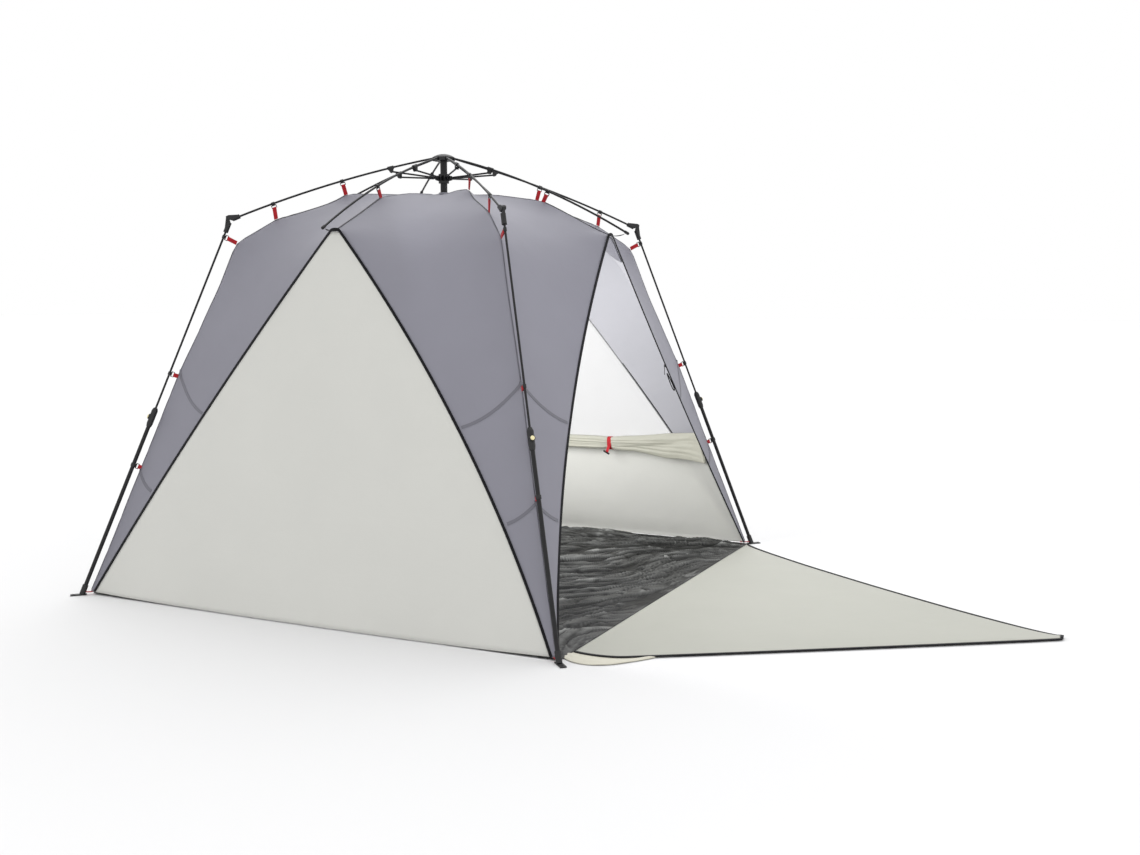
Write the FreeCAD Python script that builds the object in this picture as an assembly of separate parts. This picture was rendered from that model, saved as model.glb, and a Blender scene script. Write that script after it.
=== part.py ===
"""Pop-up tarp shelter: a square fabric tent hung inside a folding umbrella frame.

Eight bowed ribs are hinged to a crown hub on a short centre tube and braced by eight struts
to a runner on that tube. The four corner ribs carry telescopic legs on knee hinges. Fabric
hangs inside the frame on red webbing tabs.

Units are millimetres. The origin is on the ground under the crown, +Z is up, and the open
doorway faces -Y. Frame pieces are modelled in a radial plane (x outwards, z up) and turned
about Z to their place.
"""
import math
import os

import FreeCAD
import Part

V = FreeCAD.Vector

# --- Overall size -----------------------------------------------------------------------
HALF_WIDTH = 1150.0        # centre to the line between two feet
KNEE_X = 677.0             # knee, along X and Y
KNEE_Z = 1617.0
CROWN_Z = 1918.0           # height of the ring of rib pivots
APEX_R = 840.0             # top of each triangular wall
APEX_Z = 1547.0
SIDES = ("right", "rear", "left", "front")
CORNERS = ("rear_right", "rear_left", "front_left", "front_right")

# --- Frame tubes and fittings -------------------------------------------------------------
ROD_R = 4.5
STRUT_R = 4.0
TUBE_R = 16.0              # centre tube
TUBE_WALL = 1.5
TUBE_LENGTH = 520.0
LEG_TUBE_R = 8.5
LEG_TUBE_WALL = 1.2
PIN_R = 2.0
PLAY = 0.08                # radial play of every pin and running fit
SLOT = 9.8                 # width of a slot that a rod turns in
EYE_WIDTH = 8.0
EYE_R = 6.0
HUB_R = 52.0
PIVOT_R = 40.0             # radius of the ring of rib pivots
RUNNER_DROP = 90.0         # runner pivots below the rib pivots
RUNNER_PIVOT_R = 35.0
STRUT_SHORT = 4.0          # strut's round end stops this far from the runner's pivot
BRACKET_AT = 213.0         # strut bracket, along the rib from its pivot
BRACKET_OFFSET = 17.0      # strut pin below the rib
CORNER_BOW = 22.0          # rise of a bowed rib above its chord
SIDE_BOW = 33.0
SIDE_TIP_R = 920.0         # free tip of a side rib
SIDE_TIP_Z = 1556.0
KNEE_OFFSET = 16.0         # knee pin outside the point where rib and leg meet
HOOK_DROP = 9.0            # middle of a hook's ring below the surface of its rod
HUB_TOP = 3.0              # hub's flat top above the rib pivots
CAP_RISE = 16.0

# --- Folding ------------------------------------------------------------------------------
CROWN_TRAVEL = 860.0       # the crown comes down this far
CORNER_FOLD = 66.0         # degrees that a corner rib turns down
KNEE_FOLD = 226.0          # degrees that a leg turns against its rib
TELESCOPE = 612.0          # the lower leg slides up this far
BUTTON_TRAVEL = 3.0

# --- Places along a leg, as fractions from knee to foot --------------------------------------
LEG_HOOKS = (0.045, 0.411, 0.655)
COLLAR_AT = 0.521
RIB_HOOKS = (0.46, 0.795)  # corner rib, as fractions from the crown
SIDE_HOOK = 0.55

# --- Fabric ---------------------------------------------------------------------------------
CLOTH = 1.6                # modelled thickness of every fabric panel
GAP = 6.0                  # between neighbouring panels, along the seam
LEG_TO_CLOTH = 36.0        # cloth inside the leg at the tabs
SEAM_FOOT_OUT = 1122.0     # seam's lower end, out from the centre and along the side
SEAM_FOOT_ALONG = 1105.0
SEAM_APEX_ALONG = 22.0
SEAM_FOOT_Z = 12.0
SEAM_HOLLOW = 40.0         # how far a seam runs inside its chord
SEAM_SPREAD = 65.0         # how far it bulges along the side
CROWN_CLOTH_Z = 1752.0
SLEEVE_R = 24.0            # hole in the roof round the centre tube
TAB_WIDTH = 18.0           # along the rod
TAB_THICKNESS = 1.5
DOOR_HINGE_Y = -1140.0
DOOR_LENGTH = 1587.0
DOOR_TIP_X = -50.0         # the laid-out flap is pulled a little to the left
DOOR_HOLLOWS = (0.0, 85.0)  # how far its left and right edges run inside their chords
ROLL_Z = 510.0
WINDOW_SILL = 500.0
RIB_CLOTH = (V(452, 0, 1742), V(762, 0, 1628))  # cloth under the corner rib's two tabs
SIDE_CLOTH = V(514, 0, 1704)                    # cloth under the side rib's tab
KNEE_CLOTH = V(936, 0, 1519)


# --- Small tools ----------------------------------------------------------------------------
def turn(shape, degrees):
    """A copy of the shape turned about the vertical axis."""
    placed = shape.copy()
    placed.rotate(V(0, 0, 0), V(0, 0, 1), degrees)
    return placed


def tube(start, end, radius, bore=0.0):
    """A straight rod or tube from start to end."""
    axis = end - start
    rod = Part.makeCylinder(radius, axis.Length, start, axis)
    if bore:
        rod = rod.cut(Part.makeCylinder(bore, axis.Length + 2, start - axis / axis.Length, axis))
    return rod


def cross_pin(centre, radius, width):
    """A pin across the radial plane."""
    return Part.makeCylinder(radius, width, centre - V(0, width / 2, 0), V(0, 1, 0))


def plate(points, width):
    """A flat-sided piece of the given outline, centred on the radial plane."""
    outline = [V(p.x, -width / 2, p.z) for p in points]
    face = Part.Face(Part.makePolygon(outline + [outline[0]]))
    return face.extrude(V(0, width, 0))


def along(direction, out, up):
    """A point from two distances: along a direction and square to it, upwards."""
    return direction * out + V(-direction.z, 0, direction.x) * up


def solid_from(faces):
    """One closed solid from triangles, with its faces outwards."""
    solid = Part.makeSolid(Part.makeShell(faces))
    if solid.Volume < 0:
        solid.reverse()
    return solid


def triangle(a, b, c):
    return Part.Face(Part.makePolygon([a, b, c, a]))


def sheet(rows, thickness=CLOTH, ring=False):
    """A thin closed solid below a grid of points; a ring joins each row's two ends."""
    count = len(rows[0])

    def at(i, j):
        return rows[i][j % count if ring else j]

    def normal(i, j):
        up, down = max(i - 1, 0), min(i + 1, len(rows) - 1)
        left, right = (j - 1, j + 1) if ring else (max(j - 1, 0), min(j + 1, count - 1))
        across = (at(i, right) - at(i, left)).cross(at(down, j) - at(up, j))
        return across / across.Length

    under = [[at(i, j) - normal(i, j) * thickness for j in range(count)] for i in range(len(rows))]
    columns = range(count if ring else count - 1)
    faces = []
    for i in range(len(rows) - 1):
        for j in columns:
            k = (j + 1) % count
            for grid in (rows, under):
                faces.append(triangle(grid[i][j], grid[i][k], grid[i + 1][k]))
                faces.append(triangle(grid[i][j], grid[i + 1][k], grid[i + 1][j]))
    for i in (0, len(rows) - 1):
        for j in columns:
            k = (j + 1) % count
            faces.append(triangle(rows[i][j], rows[i][k], under[i][k]))
            faces.append(triangle(rows[i][j], under[i][k], under[i][j]))
    for j in () if ring else (0, count - 1):
        for i in range(len(rows) - 1):
            faces.append(triangle(rows[i][j], rows[i + 1][j], under[i + 1][j]))
            faces.append(triangle(rows[i][j], under[i + 1][j], under[i][j]))
    return solid_from(faces)


# --- Geometry of the frame in its radial plane --------------------------------------------------
PIVOT = V(PIVOT_R, 0, CROWN_Z)
RUNNER_PIVOT = V(RUNNER_PIVOT_R, 0, CROWN_Z - RUNNER_DROP)
KNEE = V(KNEE_X * math.sqrt(2), 0, KNEE_Z)
FOOT = V(HALF_WIDTH * math.sqrt(2), 0, 0)
SIDE_TIP = V(SIDE_TIP_R, 0, SIDE_TIP_Z)
LEG_LENGTH = (FOOT - KNEE).Length
DOWN_LEG = (FOOT - KNEE) / LEG_LENGTH
LEG_INWARD = V(DOWN_LEG.z, 0, -DOWN_LEG.x)      # square to the leg, towards the tent


class Rib:
    """A bowed rib from the crown to its outer end."""

    def __init__(self, end, bow):
        self.end = end
        chord = end - PIVOT
        self.length = chord.Length
        self.chord = chord / chord.Length
        self.bow = bow
        self.radius = self.length ** 2 / (8 * bow) + bow / 2

    def at(self, distance):
        """The point of the bowed centre line over a distance along the chord."""
        half = self.length / 2
        rise = math.sqrt(self.radius ** 2 - (distance - half) ** 2) - (self.radius - self.bow)
        return PIVOT + along(self.chord, distance, rise)

    def direction(self, distance):
        step = self.at(distance + 0.5) - self.at(distance - 0.5)
        return step / step.Length

    def rod(self, start, end):
        """The bowed rod between two distances along the chord."""
        arc = Part.Arc(self.at(start), self.at((start + end) / 2), self.at(end)).toShape()
        section = Part.Wire(Part.makeCircle(ROD_R, self.at(start), self.direction(start)))
        return Part.Wire(arc).makePipeShell([section], True, True)

    def strut_pin(self):
        return self.at(BRACKET_AT) + along(self.direction(BRACKET_AT), 0, -BRACKET_OFFSET)


CORNER_RIB = Rib(KNEE, CORNER_BOW)
SIDE_RIB = Rib(SIDE_TIP, SIDE_BOW)
KNEE_BISECTOR = along((CORNER_RIB.direction(CORNER_RIB.length) + DOWN_LEG).normalize(), 0, 1)
KNEE_PIN = KNEE + KNEE_BISECTOR * KNEE_OFFSET


def strut_length(rib):
    return (rib.strut_pin() - RUNNER_PIVOT).Length


def folded_pin(rib, fold):
    """The strut pin once the rib has turned down by fold degrees about its pivot."""
    arm = rib.strut_pin() - PIVOT
    angle = math.radians(fold)
    return PIVOT + V(
        arm.x * math.cos(angle) + arm.z * math.sin(angle),
        0,
        arm.z * math.cos(angle) - arm.x * math.sin(angle),
    )


def runner_travel(rib, fold):
    """How far down the runner stands when the rib has turned by fold degrees."""
    pin = folded_pin(rib, fold)
    reach = math.sqrt(strut_length(rib) ** 2 - (pin.x - RUNNER_PIVOT_R) ** 2)
    return RUNNER_PIVOT.z - (pin.z - reach)


def side_fold():
    """The side rib's fold that puts the runner where the corner ribs put it."""
    low, high = 40.0, 80.0
    target = runner_travel(CORNER_RIB, CORNER_FOLD)
    while high - low > 1e-6:
        middle = (low + high) / 2
        if runner_travel(SIDE_RIB, middle) < target:
            low = middle
        else:
            high = middle
    return low


def strut_fold(rib, fold):
    """Degrees that a strut turns against its rib as the rib turns down by fold degrees."""
    open_way = RUNNER_PIVOT - rib.strut_pin()
    pin = folded_pin(rib, fold)
    shut_way = V(RUNNER_PIVOT_R, 0, RUNNER_PIVOT.z - runner_travel(rib, fold)) - pin
    turned = math.atan2(shut_way.z, shut_way.x) - math.atan2(open_way.z, open_way.x)
    return math.degrees(turned % (2 * math.pi)) + fold


def on_leg(fraction):
    return KNEE + DOWN_LEG * (LEG_LENGTH * fraction)


# --- Crown and runner -------------------------------------------------------------------------
def crown_hub():
    """Slotted disc with eight pivot pins and a spigot for the centre tube."""
    bottom, spigot = 12.0, 34.0
    hub = Part.makeCylinder(HUB_R, HUB_TOP + bottom, V(0, 0, CROWN_Z - bottom))
    hub = hub.fuse(Part.makeCylinder(TUBE_R - TUBE_WALL - 0.1, spigot, V(0, 0, CROWN_Z - bottom - spigot)))
    for k in range(8):
        slot = Part.makeBox(40, SLOT, 30, V(PIVOT_R - 10, -SLOT / 2, CROWN_Z - 24))
        hub = hub.cut(turn(slot, 45 * k))
    for k in range(8):
        hub = hub.fuse(turn(cross_pin(PIVOT, PIN_R, SLOT + 2), 45 * k))
    return hub.removeSplitter()


def crown_cap():
    """Domed cap on the hub, hollowed for the eyes of the ribs."""
    base = CROWN_Z + HUB_TOP
    radius = (HUB_R ** 2 + CAP_RISE ** 2) / (2 * CAP_RISE)
    ball = Part.makeSphere(radius, V(0, 0, base + CAP_RISE - radius))
    cap = ball.common(Part.makeCylinder(HUB_R, CAP_RISE + 1, V(0, 0, base)))
    room = cross_pin(PIVOT, EYE_R + 1.0, SLOT)
    room = room.fuse(Part.makeBox(20, SLOT, 2.0, V(PIVOT_R, -SLOT / 2, base - 1.0)))
    for k in range(8):
        cap = cap.cut(turn(room, 45 * k))
    return cap.removeSplitter()


def centre_tube():
    """Centre tube with a plug in its lower end."""
    top = CROWN_Z - 12.0
    bottom = top - TUBE_LENGTH
    body = tube(V(0, 0, bottom), V(0, 0, top), TUBE_R, TUBE_R - TUBE_WALL)
    plug = Part.makeCylinder(TUBE_R - TUBE_WALL - 0.1, 20, V(0, 0, bottom))
    return Part.makeCompound([body, plug])


def runner():
    """Sliding collar with eight pairs of ears, open below so that the struts swing free."""
    ear, reach = 4.0, 42.0
    z = RUNNER_PIVOT.z
    body = Part.makeCylinder(24, 42, V(0, 0, z - 24))
    for k in range(8):
        for side in (-1, 1):
            y = side * (SLOT + ear) / 2
            outline = [V(22, 0, z + 11), V(reach - 4, 0, z + 9), V(reach, 0, z), V(reach - 4, 0, z - 9)]
            lug = plate(outline + [V(22, 0, z - 14)], ear)
            lug.translate(V(0, y, 0))
            body = body.fuse(turn(lug, 45 * k))
    body = body.cut(Part.makeCylinder(TUBE_R + PLAY, 60, V(0, 0, z - 40)))
    for k in range(8):
        swing = Part.makeBox(30, SLOT, 26, V(RUNNER_PIVOT_R - 7.5, -SLOT / 2, z - 13))
        body = body.cut(turn(swing, 45 * k))
    return body.removeSplitter()


# --- Ribs and struts ------------------------------------------------------------------------------
def rib_rod(rib, end):
    """Bowed rod with a flattened eye at the crown."""
    eye = cross_pin(PIVOT, EYE_R, EYE_WIDTH)
    rod = rib.rod(3.0, end).fuse(eye)
    return rod.cut(cross_pin(PIVOT, PIN_R + PLAY, EYE_WIDTH + 4)).removeSplitter()


def strut_bracket(rib):
    """Sleeve on the rib with two ears and the strut's pin."""
    centre = rib.at(BRACKET_AT)
    way = rib.direction(BRACKET_AT)
    pin = rib.strut_pin()
    sleeve = tube(centre - way * 14, centre + way * 14, 8.0)
    ear = 3.0
    ears = []
    for side in (-1, 1):
        outline = [centre - way * 13, centre + way * 13, pin + along(way, 6, -3), pin + along(way, 0, -7)]
        wing = plate(outline + [pin + along(way, -6, -3)], ear)
        wing.translate(V(0, side * (SLOT + ear) / 2, 0))
        ears.append(wing)
    body = sleeve.fuse(ears).fuse(cross_pin(pin, PIN_R, SLOT + 2 * ear))
    room = Part.makeCylinder(8.6, SLOT, pin - V(0, SLOT / 2, 0), V(0, 1, 0))
    body = body.cut(room).fuse(cross_pin(pin, PIN_R, SLOT + 2 * ear))
    return bored_for_rib(body, rib, BRACKET_AT)


def bored_for_rib(body, rib, distance):
    """The fitting with a hole along the bowed rod."""
    reach = 30.0
    arc = Part.Arc(rib.at(distance - reach), rib.at(distance), rib.at(distance + reach)).toShape()
    ring = Part.makeCircle(ROD_R, rib.at(distance - reach), rib.direction(distance - reach))
    return body.cut(Part.Wire(arc).makePipeShell([Part.Wire(ring)], True, True)).removeSplitter()


def hook(centre, way, bore):
    """Sleeve with a flat ring under it that holds a webbing tab.

    way runs along the rod, and the ring hangs on the side that is square to it and inwards.
    """
    sleeve = tube(centre - way * 7, centre + way * 7, bore + 2.5)
    inward = V(way.z, 0, -way.x)
    middle = centre + inward * (bore + HOOK_DROP)

    def block(half_length, near, far, width):
        corners = ((-half_length, near), (half_length, near), (half_length, far), (-half_length, far))
        return plate([middle + way * a + inward * b for a, b in corners], width)

    ring = block(TAB_WIDTH / 2 + 3.0, -7.5, 6.5, 3.0).cut(block(TAB_WIDTH / 2 + 0.5, -3.0, 4.5, 5.0))
    body = sleeve.fuse(ring)
    return body.cut(tube(centre - way * 15, centre + way * 15, bore)).removeSplitter()


def rib_hook(rib, fraction):
    distance = rib.length * fraction
    return hook(rib.at(distance), rib.direction(distance), ROD_R)


def knee_fork():
    """Socket on the rib's end with two cheeks that carry the knee pin."""
    end = CORNER_RIB.length
    way = CORNER_RIB.direction(end)
    cheek = 4.0
    socket = tube(KNEE - way * 44, KNEE - way * 10, 10.0)
    parts = []
    for side in (-1, 1):
        outline = [KNEE - way * 40 + along(way, 0, 9), KNEE + along(way, -12, -8), KNEE + along(way, -6, -4)]
        outline += [KNEE_PIN + along(way, 8, -3), KNEE_PIN + along(way, 5, 7), KNEE_PIN + along(way, -6, 8)]
        wing = plate(outline, cheek)
        wing.translate(V(0, side * (SLOT + cheek) / 2, 0))
        parts.append(wing)
    body = socket.fuse(parts)
    room = Part.makeCylinder(16.0, SLOT, KNEE_PIN - V(0, SLOT / 2, 0), V(0, 1, 0))
    body = body.cut(room).fuse(cross_pin(KNEE_PIN, PIN_R, SLOT + 2 * cheek))
    return bored_for_rib(body, CORNER_RIB, end - 27)


def corner_rib_fittings():
    return Part.makeCompound(
        [strut_bracket(CORNER_RIB), knee_fork()] + [rib_hook(CORNER_RIB, t) for t in RIB_HOOKS]
    )


def side_rib():
    """Side rib with its bracket, hook and rounded tip as separate pieces of one group."""
    end = SIDE_RIB.length
    tip = tube(SIDE_RIB.at(end - 14), SIDE_RIB.at(end + 2), 6.5)
    tip = tip.fuse(Part.makeSphere(6.5, SIDE_RIB.at(end + 2)))
    tip = bored_for_rib(tip, SIDE_RIB, end - 42)
    return Part.makeCompound(
        [rib_rod(SIDE_RIB, end - 12), strut_bracket(SIDE_RIB), rib_hook(SIDE_RIB, SIDE_HOOK), tip]
    )


def strut(rib):
    """Strut with an eye on the rib's bracket and a round end just short of the runner's pivot."""
    pin = rib.strut_pin()
    end = RUNNER_PIVOT + (pin - RUNNER_PIVOT).normalize() * STRUT_SHORT
    rod = tube(pin, end, STRUT_R).fuse(Part.makeSphere(STRUT_R, end))
    rod = rod.fuse(cross_pin(pin, EYE_R, EYE_WIDTH))
    return rod.cut(cross_pin(pin, PIN_R + PLAY, EYE_WIDTH + 4)).removeSplitter()


# --- Legs ----------------------------------------------------------------------------------------
def knee_socket():
    """Leg's knee piece: a tongue between the fork's cheeks, a socket and the hook below it."""
    socket = tube(KNEE + DOWN_LEG * 12, KNEE + DOWN_LEG * 58, 10.5)
    outline = [KNEE_PIN - LEG_INWARD * 7, KNEE_PIN + along(DOWN_LEG, -5, 5), KNEE_PIN - DOWN_LEG * 7]
    outline += [KNEE_PIN + LEG_INWARD * 7, KNEE + DOWN_LEG * 12 + LEG_INWARD * 6]
    outline += [KNEE + DOWN_LEG * 30, KNEE + DOWN_LEG * 40 - LEG_INWARD * 10]
    tongue = plate(outline, EYE_WIDTH)
    body = socket.fuse(tongue)
    body = body.cut(cross_pin(KNEE_PIN, PIN_R + PLAY, EYE_WIDTH + 4))
    body = body.cut(tube(KNEE + DOWN_LEG * 16, KNEE + DOWN_LEG * 60, ROD_R)).removeSplitter()
    return Part.makeCompound([body, hook(on_leg(LEG_HOOKS[0]), DOWN_LEG, ROD_R)])


def leg_rod():
    """Upper leg rod, with the bush that guides it inside the lower tube."""
    end = LEG_LENGTH * COLLAR_AT + 130
    rod = tube(KNEE + DOWN_LEG * 16, KNEE + DOWN_LEG * end, ROD_R)
    bush = tube(KNEE + DOWN_LEG * (end - 24), KNEE + DOWN_LEG * end, LEG_TUBE_R - LEG_TUBE_WALL - PLAY)
    return rod.fuse(bush).removeSplitter()


def lower_tube():
    start = on_leg(COLLAR_AT) + DOWN_LEG * 10
    return tube(start, FOOT - DOWN_LEG * 16, LEG_TUBE_R, LEG_TUBE_R - LEG_TUBE_WALL)


def button_axis():
    """Centre of the button's outer face and its outward direction."""
    return on_leg(COLLAR_AT) + DOWN_LEG * 14, LEG_INWARD * -1


def leg_fittings():
    """Collar, hooks and foot of a lower leg, as separate pieces of one group."""
    head = on_leg(COLLAR_AT)
    collar = tube(head - DOWN_LEG * 18, head + DOWN_LEG * 42, 13.0)
    neck = Part.makeCone(8.5, 13.0, 12, head - DOWN_LEG * 30, DOWN_LEG)
    tail = Part.makeCone(13.0, 10.5, 14, head + DOWN_LEG * 42, DOWN_LEG)
    centre, outward = button_axis()
    boss = tube(centre, centre + outward * 17.0, 11.5)
    collar = collar.fuse([neck, tail, boss])
    collar = collar.cut(tube(head - DOWN_LEG * 40, head + DOWN_LEG * 20, ROD_R + PLAY))
    collar = collar.cut(tube(head + DOWN_LEG * 10, head + DOWN_LEG * 80, LEG_TUBE_R))
    collar = collar.cut(tube(centre + outward * 10.5, centre + outward * 30, 8.5)).removeSplitter()
    cup = tube(FOOT - DOWN_LEG * 46, FOOT - DOWN_LEG * 3, 12.0)
    cup = cup.cut(tube(FOOT - DOWN_LEG * 60, FOOT - DOWN_LEG * 16, LEG_TUBE_R))
    base = Part.makeBox(66, 24, 4, V(FOOT.x - 20, -12, 0))
    peg_hole = Part.makeCylinder(4.5, 10, V(FOOT.x + 34, 0, -3))
    keep = Part.makeBox(200, 200, 200, V(FOOT.x - 100, -100, 0))
    foot = cup.common(keep).fuse(base).cut(peg_hole).removeSplitter()
    pieces = [collar, foot, hook(on_leg(LEG_HOOKS[1]), DOWN_LEG, ROD_R)]
    return Part.makeCompound(pieces + [hook(on_leg(LEG_HOOKS[2]), DOWN_LEG, LEG_TUBE_R)])


def push_button():
    """Round lock button that stands proud of its collar."""
    centre, outward = button_axis()
    button = tube(centre + outward * 13.8, centre + outward * 21.0, 8.3)
    return button.makeFillet(1.5, [e for e in button.Edges if e.CenterOfMass.distanceToPoint(
        centre + outward * 21.0) < 1e-3])


# --- Fabric shape ----------------------------------------------------------------------------------
def leg_cloth():
    """Cloth beside the two lower hooks of a leg."""
    return [on_leg(t) + LEG_INWARD * LEG_TO_CLOTH for t in LEG_HOOKS[1:]]


def corner_ridge():
    """Points of the fabric's corner line in the diagonal plane, from the roof's edge down."""
    top = [V(768, 0, 1625), V(840, 0, 1577), KNEE_CLOTH, V(1017, 0, 1317)]
    return top + leg_cloth() + [V(1590, 0, SEAM_FOOT_Z)]


def point_on(points, fraction):
    """A point at a fraction of a polyline's length."""
    lengths = [(b - a).Length for a, b in zip(points, points[1:])]
    left = fraction * sum(lengths)
    for a, b, length in zip(points, points[1:], lengths):
        if left <= length + 1e-9:
            return a + (b - a) * (left / length)
        left -= length
    return points[-1]


def seam(fraction):
    """Distance out, distance along the side and height of a seam, from apex to foot."""
    bulge = 4 * fraction * (1 - fraction)
    out = APEX_R + (SEAM_FOOT_OUT - APEX_R) * fraction - SEAM_HOLLOW * bulge
    side = SEAM_APEX_ALONG + (SEAM_FOOT_ALONG - SEAM_APEX_ALONG) * fraction + SEAM_SPREAD * bulge
    return out, side, APEX_Z + (SEAM_FOOT_Z - APEX_Z) * fraction


def seam_at_height(z):
    return seam((APEX_Z - z) / (APEX_Z - SEAM_FOOT_Z))


def turned(point, degrees):
    """A point turned about the vertical axis."""
    return FreeCAD.Rotation(V(0, 0, 1), degrees).multVec(point)


def roof():
    """Whole roof as one sheet, from the sleeve round the tube to the eave."""
    sleeve = V(SLEEVE_R, 0, CROWN_CLOTH_Z)
    mid = [sleeve, V(270, 0, 1738), SIDE_CLOTH, V(674, 0, 1627), V(834, 0, 1551)]
    corner = [sleeve, V(240, 0, 1748), RIB_CLOTH[0], V(560, 0, 1688), RIB_CLOTH[1]]
    steps = 3
    rows = []
    for inner, outer in zip(mid, corner):
        row = []
        for k in range(8):
            a, b = (inner, outer) if k % 2 == 0 else (outer, inner)
            start, end = turned(a, 45 * k), turned(b, 45 * k + 45)
            row += [start + (end - start) * (s / steps) for s in range(steps)]
        rows.append(row)
    return sheet(rows, ring=True)


def corner_panel():
    """Gray corner piece between two seams, folded softly along the corner line."""
    ridge = corner_ridge()
    count, steps = 8, 3
    rows = []
    for i in range(count + 1):
        fraction = i / count
        out, side, z = seam(fraction)
        start, end = V(out, side, z), V(side, out, z)
        middle = turned(point_on(ridge, fraction), 45)
        row = [start + (middle - start) * (s / steps) for s in range(steps)]
        row += [middle + (end - middle) * (s / steps) for s in range(steps + 1)]
        rows.append(row)
    return sheet(rows)


def wall(top, bottom, inset=0.0):
    """Triangular wall between the two seams of the +X side, from one height to another."""
    count, steps = 6, 4
    rows = []
    for i in range(count + 1):
        height = top + (bottom - top) * i / count
        out, side, _ = seam_at_height(height)
        side -= GAP + inset
        row = []
        for s in range(-steps, steps + 1):
            share = s / steps
            low = 4.0 + 16.0 * share ** 2 if i == count and bottom < 50 else height
            row.append(V(out - 1.0, side * share, low))
        rows.append(row)
    return sheet(rows)


def window_roll():
    """Rolled-up window cover, fatter towards the doorway."""
    out, side, _ = seam_at_height(ROLL_Z)
    sections = []
    for y, thick, tall in ((-side + 30, 54, 130), (-side + 200, 56, 92), (0, 52, 78), (side - 40, 48, 74)):
        centre = V(out - 9 - thick / 2, y, ROLL_Z)
        shape = Part.Ellipse(centre + V(0, 0, tall / 2), centre + V(thick / 2, 0, 0), centre)
        sections.append(Part.Wire(shape.toShape()))
    return Part.makeLoft(sections, True, False)


def groundsheet():
    edge = 1108.0
    front = DOOR_HINGE_Y + 2.0
    return Part.makeBox(2 * edge, edge - front, 2.0, V(-edge, front, 0))


def front_door():
    """Doorway cover laid out on the ground in front, its right edge pulled hollow."""
    count = 8
    edges = []
    for sign, hollow in zip((-1, 1), DOOR_HOLLOWS):
        edge = []
        for i in range(count + 1):
            t = i / count
            half = SEAM_APEX_ALONG + (SEAM_FOOT_ALONG - SEAM_APEX_ALONG) * t - hollow * 4 * t * (1 - t)
            edge.append(V(sign * half + DOOR_TIP_X * (1 - t), DOOR_HINGE_Y - DOOR_LENGTH * (1 - t), 0.5))
        edges.append(edge)
    outline = edges[0] + edges[1][::-1]
    return Part.Face(Part.makePolygon(outline + [outline[0]])).extrude(V(0, 0, 2.0))


# --- Small soft pieces -------------------------------------------------------------------------------
def tab(ring_centre, fabric_point, rod_way):
    """Webbing tab from just under a hook's ring to just above the fabric, flat along the rod."""
    way = (fabric_point - ring_centre).normalize()
    start = ring_centre + way * 8.0
    end = fabric_point - way * 3.0
    half = rod_way * (TAB_WIDTH / 2)
    return plate([start - half, start + half, end + half, end - half], TAB_THICKNESS)


def rib_tab(rib, fraction, fabric_point):
    way = rib.direction(rib.length * fraction)
    ring = rib.at(rib.length * fraction) + along(way, 0, -(ROD_R + HOOK_DROP))
    return tab(ring, fabric_point, way)


def tabs_in_corner():
    pieces = [rib_tab(CORNER_RIB, t, cloth) for t, cloth in zip(RIB_HOOKS, RIB_CLOTH)]
    radii = (ROD_R, ROD_R, LEG_TUBE_R)
    for t, radius, cloth in zip(LEG_HOOKS, radii, [KNEE_CLOTH] + leg_cloth()):
        pieces.append(tab(on_leg(t) + LEG_INWARD * (radius + HOOK_DROP), cloth, DOWN_LEG))
    return pieces


def webbing_tabs():
    """Every red webbing tab of the canopy, and a short strap at each foot."""
    side_tab = rib_tab(SIDE_RIB, SIDE_HOOK, SIDE_CLOTH)
    foot_strap = Part.makeBox(16, 14, 1.5, V(FOOT.x - 38, -7, 4.5))
    pieces = []
    for k in range(4):
        pieces += [turn(piece, 45 + 90 * k) for piece in tabs_in_corner() + [foot_strap]]
        pieces.append(turn(side_tab, 90 * k))
    return Part.makeCompound(pieces)


def apex_ties():
    """Short tie from each apex towards the tip of its side rib."""
    start = V(APEX_R + 5, 0, APEX_Z + 3)
    end = SIDE_TIP - V(16, 0, 4)
    return Part.makeCompound([turn(tube(start, end, 2.5), 90 * k) for k in range(4)])


def roll_toggles():
    """Straps that hold the rolled window cover."""
    pieces = []
    out, side, _ = seam_at_height(ROLL_Z)
    for y in (-0.53 * side, 0.40 * side):
        pieces.append(Part.makeBox(2.0, 18, 100, V(out - 69, y - 9, ROLL_Z - 50)))
    return Part.makeCompound(pieces)


def zip_sliders():
    """Slider and pull of each doorway zip, hanging inside the doorway's edge."""
    out, side, z = seam_at_height(950.0)
    pieces = []
    for x in (-side, side):
        body = Part.makeBox(8, 5, 14, V(x - 4, -out + 6, z))
        pull = Part.makeBox(5, 1.5, 34, V(x - 2.5, -out + 8, z - 35))
        pieces += [body, pull]
    return Part.makeCompound(pieces)


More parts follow.
